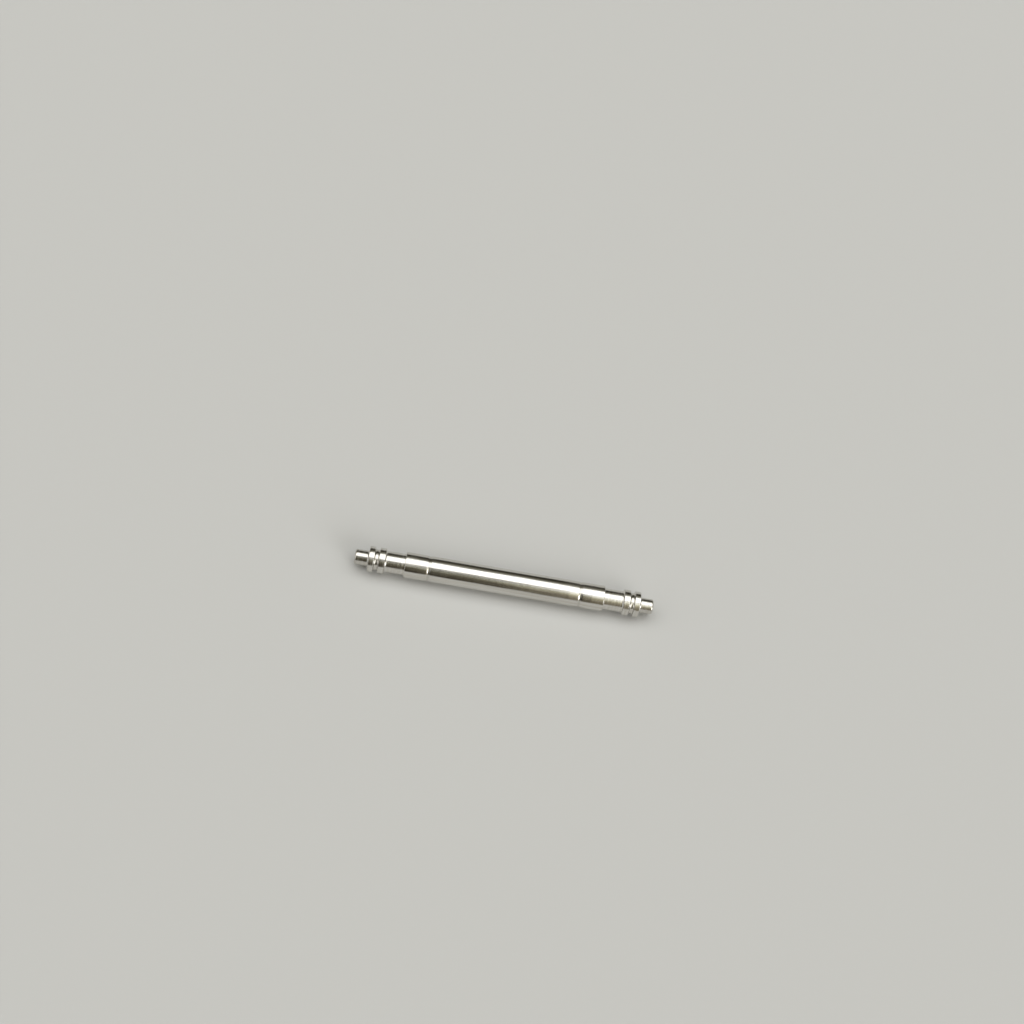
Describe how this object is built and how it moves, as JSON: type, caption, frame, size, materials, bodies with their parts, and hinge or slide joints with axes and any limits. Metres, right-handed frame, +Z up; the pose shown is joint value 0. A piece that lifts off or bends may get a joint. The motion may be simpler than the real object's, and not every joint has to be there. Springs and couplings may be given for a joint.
{
  "type": "spring bar",
  "caption": "Double-flange watch spring bar: a crimped steel tube with a sprung, shouldered pivot pin in each end that clicks into the lug holes.",
  "frame": {"origin": "middle of the bar on its axis, with both plungers out at their stops", "axes": "+X along the bar towards the right plunger's tip, +Z up as the bar lies flat on a table"},
  "size_m": [0.0208, 0.0018, 0.0018],
  "materials": {
    "tube_steel": "drawn tube, polished, with fine lengthwise draw lines",
    "plunger_steel": "turned and tumbled bright, with faint turning lines round it",
    "spring_steel": "plain drawn spring wire"
  },
  "bodies": {
    "tube": {"tube": "tube_steel", "spring": "spring_steel"},
    "left_plunger": {"left_plunger": "plunger_steel"},
    "right_plunger": {"right_plunger": "plunger_steel"}
  },
  "joints": [
    {"name": "left_plunger_slide", "type": "slide", "parent": "tube", "child": "left_plunger", "axis": [1, 0, 0], "range_m": [0, 0.00135], "stiffness_N_per_m": 940, "deforming": ["spring"]},
    {"name": "right_plunger_slide", "type": "slide", "parent": "tube", "child": "right_plunger", "axis": [-1, 0, 0], "range_m": [0, 0.00135], "stiffness_N_per_m": 940, "deforming": ["spring"]}
  ]
}
